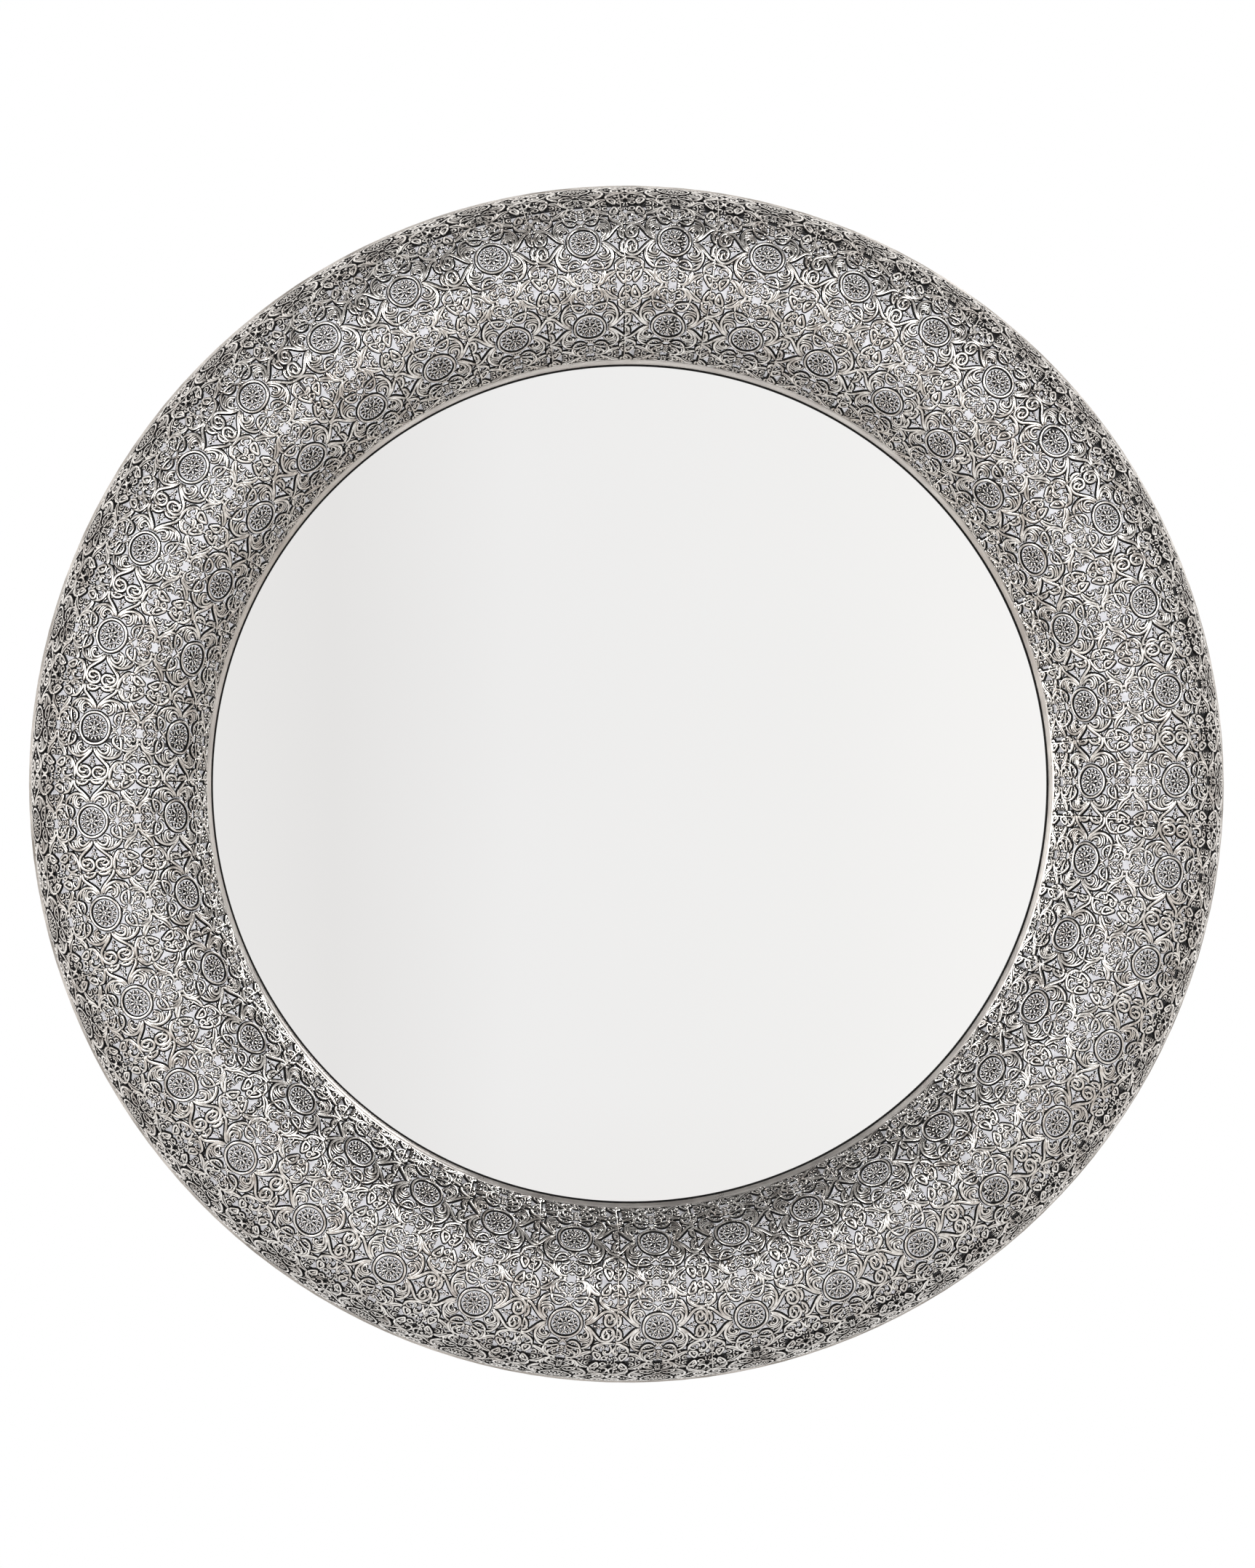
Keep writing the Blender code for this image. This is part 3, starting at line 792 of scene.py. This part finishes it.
def slope_silver():
    """Near-black sides of the raised lines and of the cuts: painted shade on the flanks, partly dark
    tarnish.
    """
    look = Look("slope_silver", 0.6, 0.0)
    look.shader.inputs["Specular IOR Level"].default_value = 0.05
    specks = look.noise(0.004, 4.0)
    look.colour(look.ramp(specks, ((0.35, (0.0010, 0.0009, 0.0009)), (0.75, (0.005, 0.0046, 0.0045)))))
    look.roughness(look.noise(0.005, 2.0), 0.45, 0.65)
    look.bump(specks, 0.4, 0.0003)
    return look.material


def underside_silver():
    """Bare pale metal behind the panels, which was never rubbed or darkened."""
    look = Look("underside_silver", 0.5, 0.25)
    specks = look.noise(0.005)
    look.colour(look.ramp(specks, ((0.3, (0.66, 0.65, 0.65)), (0.7, (0.80, 0.79, 0.79)))))
    look.roughness(specks, 0.42, 0.6)
    look.bump(specks, 0.2, 0.0002)
    return look.material


def smooth_silver(name, dark, light, low, high):
    """Plain worn silver between two shades, with its roughness between two limits."""
    look = Look(name, 0.25, 0.95)
    tone = look.noise(0.03, 4.0, stretch=(1.0, 4.0, 1.0))
    look.colour(look.ramp(tone, ((0.32, dark), (0.66, light))))
    look.roughness(look.noise(0.008), low, high)
    look.bump(look.noise(0.002), 0.08, 0.0002)
    return look.material


def mirror_glass():
    """Silvered glass with a faint veil and a clear coat."""
    look = Look("mirror_glass", 0.015, 1.0)
    veil = look.noise(0.25, 2.0)
    look.colour(look.ramp(veil, ((0.2, (0.95, 0.95, 0.945)), (0.8, (0.965, 0.965, 0.96)))))
    look.shader.inputs["Coat Weight"].default_value = 0.3
    look.shader.inputs["Coat Roughness"].default_value = 0.01
    return look.material


def painted_board():
    """Hardboard, painted pale on the side that faces the viewer and bare behind."""
    look = Look("painted_board", 0.55, 0.0)
    cloud = look.noise(0.12, 4.0)
    fibre = look.noise(0.0022, 4.0)
    base = look.ramp(cloud, ((0.3, (0.87, 0.865, 0.895)), (0.7, (0.91, 0.905, 0.93))))
    worn = look.ramp(cloud, ((0.3, (0.82, 0.815, 0.845)), (0.7, (0.87, 0.865, 0.89))))
    bare = look.ramp(fibre, ((0.35, (0.060, 0.048, 0.038)), (0.65, (0.105, 0.086, 0.069))))
    paint = look.blend("MIX", look.share(fibre, 0.40, 0.65), base, worn)
    look.colour(look.blend("MIX", look.depth(BARE_DEPTH, PAINT_DEPTH), bare, paint))
    look.roughness(fibre, 0.45, 0.65)
    look.bump(fibre, 0.25, 0.0002)
    return look.material


def dark_steel():
    """Dull dark steel of the ribs."""
    look = Look("dark_steel", 0.5, 0.3)
    tone = look.noise(0.006, 4.0)
    look.colour(look.ramp(tone, ((0.3, (0.035, 0.034, 0.036)), (0.7, (0.10, 0.095, 0.095)))))
    look.roughness(tone, 0.4, 0.6)
    look.bump(tone, 0.2, 0.0002)
    return look.material


def zinc_steel():
    """Zinc-plated steel of the hangers, with its spangle."""
    look = Look("zinc_steel", 0.35, 0.95)
    spangle = look.noise(0.004, distortion=1.2)
    look.colour(look.ramp(spangle, ((0.3, (0.26, 0.26, 0.27)), (0.7, (0.46, 0.46, 0.465)))))
    look.roughness(look.noise(0.003), 0.28, 0.45)
    look.bump(look.noise(0.0008, 2.0, stretch=(1.0, 1.0, 6.0)), 0.15, 0.0001)
    return look.material


def rubber():
    """Black rubber with a fine grain."""
    look = Look("bumper_rubber", 0.75, 0.0)
    grain = look.noise(0.0009, 4.0)
    look.colour(look.ramp(grain, ((0.3, (0.018, 0.018, 0.019)), (0.7, (0.045, 0.044, 0.044)))))
    look.roughness(grain, 0.65, 0.85)
    look.bump(grain, 0.35, 0.0001)
    return look.material


def pale_floor():
    """Plain pale studio floor."""
    look = Look("pale_floor", 0.7, 0.0)
    tone = look.noise(0.3)
    look.colour(look.ramp(tone, ((0.3, (0.25, 0.25, 0.25)), (0.7, (0.27, 0.27, 0.269)))))
    look.roughness(tone, 0.6, 0.8)
    return look.material


def give(material, *nodes):
    """Puts a material on CAD nodes that stay in sight."""
    for node in nodes:
        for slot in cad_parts[node].material_slots:
            slot.material = material


def finish_hardware():
    """Materials of the CAD nodes that are seen as they are."""
    give(mirror_glass(), "mirror_glass")
    give(painted_board(), "back_board")
    give(dark_steel(), *[f"support_rib_{k + 1}" for k in range(RIB_COUNT)])
    zinc = zinc_steel()
    for side in ("left", "right"):
        give(zinc, f"hanger_strap_{side}", f"hanger_ring_{side}", f"hanger_screw_{side}")
    give(rubber(), *[f"wall_bumper_{k + 1}" for k in range(BUMPER_COUNT)])


def build_floor():
    """A round floor far below the mirror."""
    rim = [(x, y, FLOOR_Z) for x, y in FLOOR_RADIUS * circle(FLOOR_SEGMENTS)]
    mesh = bpy.data.meshes.new("floor")
    mesh.from_pydata(rim, [], [list(range(FLOOR_SEGMENTS))])
    mesh.materials.append(pale_floor())
    floor = new_object("floor", mesh)


def build_camera():
    """The camera where the photograph was taken from, aimed near the mirror's middle."""
    camera = bpy.data.cameras.new("camera")
    camera.sensor_fit = "VERTICAL"
    camera.sensor_height = SENSOR_HEIGHT
    camera.lens = LENS
    camera.clip_end = FARTHEST_SEEN
    thing = new_object("camera", camera)
    thing.location = CAMERA_PLACE
    aim = Vector(CAMERA_AIM) - Vector(CAMERA_PLACE)
    thing.rotation_euler = aim.to_track_quat("-Z", "Y").to_euler()
    bpy.context.scene.camera = thing


def build_area_light(name, place, size, power):
    """A soft rectangular light, turned towards the middle of the mirror."""
    light = bpy.data.lights.new(name, "AREA")
    light.shape = "RECTANGLE"
    light.size, light.size_y = size
    light.energy = power
    thing = new_object(name, light)
    thing.location = place
    thing.rotation_euler = (-Vector(place)).to_track_quat("-Z", "Y").to_euler()


def room_colour(studio):
    """The studio by direction: a bright strip high up, pale below, white behind the mirror."""
    coords = studio.nodes.new("ShaderNodeTexCoord").outputs["Generated"]
    split = studio.nodes.new("ShaderNodeSeparateXYZ")
    studio.links.new(coords, split.inputs["Vector"])
    up = studio.spread(split.outputs["Z"], -1.0, 1.0)
    side = studio.spread(split.outputs["X"], -SIDE_REACH, SIDE_REACH)
    back = studio.spread(split.outputs["Y"], -1.0, 1.0)
    by_height = studio.ramp(up, WORLD_BY_HEIGHT)
    front = studio.blend("MULTIPLY", None, by_height, studio.ramp(side, WORLD_BY_SIDE))
    mask = studio.ramp(back, WORLD_BEHIND_MASK)
    room = studio.blend("MIX", mask, front, studio.ramp(back, WORLD_BEHIND))
    towards = studio.nodes.new("ShaderNodeVectorMath")
    towards.operation = "DOT_PRODUCT"
    towards.inputs[1].default_value = DARK_CORNER
    studio.links.new(coords, towards.inputs[0])
    near = studio.spread(towards.outputs["Value"], 0.0, 1.0)
    return studio.blend("MULTIPLY", None, room, studio.ramp(near, WORLD_DARK_CORNER))


def build_world():
    """The studio as reflected, and plain white for matt surfaces and behind the object."""
    world = bpy.data.worlds.new("studio")
    bpy.context.scene.world = world
    world.use_nodes = True
    studio = Graph(world.node_tree)
    studio.nodes.clear()

    def background(strength, colour=None):
        shader = studio.nodes.new("ShaderNodeBackground")
        shader.inputs["Strength"].default_value = strength
        shader.inputs["Color"].default_value = (1.0, 1.0, 1.0, 1.0)
        if colour is not None:
            studio.links.new(colour, shader.inputs["Color"])
        return shader.outputs["Background"]

    path = studio.nodes.new("ShaderNodeLightPath")
    result = background(1.0, room_colour(studio))
    plain = (("Is Diffuse Ray", DIFFUSE_STRENGTH), ("Is Camera Ray", BACKDROP_STRENGTH))
    for ray, strength in plain:
        chosen = studio.nodes.new("ShaderNodeMixShader")
        studio.links.new(path.outputs[ray], chosen.inputs["Fac"])
        studio.links.new(result, chosen.inputs[1])
        studio.links.new(background(strength), chosen.inputs[2])
        result = chosen.outputs["Shader"]
    output = studio.nodes.new("ShaderNodeOutputWorld")
    studio.links.new(result, output.inputs["Surface"])


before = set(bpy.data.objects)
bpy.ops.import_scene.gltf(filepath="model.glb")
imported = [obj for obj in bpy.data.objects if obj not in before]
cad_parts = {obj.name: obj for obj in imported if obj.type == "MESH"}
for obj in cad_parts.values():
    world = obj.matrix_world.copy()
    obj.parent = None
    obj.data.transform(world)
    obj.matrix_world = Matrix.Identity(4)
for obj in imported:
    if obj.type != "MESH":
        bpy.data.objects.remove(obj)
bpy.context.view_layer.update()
bpy.context.scene.view_settings.view_transform = "Standard"
build_camera()
build_world()
build_area_light("key", *KEY_LIGHT)
build_area_light("fill", *FILL_LIGHT)
build_floor()

# Near-black flank material: painted shade on the sides of the strokes, partly tarnish.
tarnish_and_shade = slope_silver()
build_panels((ridge_silver(), tarnish_and_shade, underside_silver()))
build_hoop(smooth_silver("hoop_silver", (0.42, 0.39, 0.37), (0.60, 0.57, 0.54), 0.26, 0.42))
build_shadow_bead(tarnish_and_shade)
# The black ring in the rim's corner is painted shade, in the bumpers' black rubber.
build_shade_ring(rubber())
# The rim band's silver is darker than the hoop's: painted shade for the dark inside of the outer rim,
# over the whole band.
give(smooth_silver("band_silver", (0.22, 0.20, 0.18), (0.55, 0.52, 0.49), 0.30, 0.50), "rim_band")
finish_hardware()
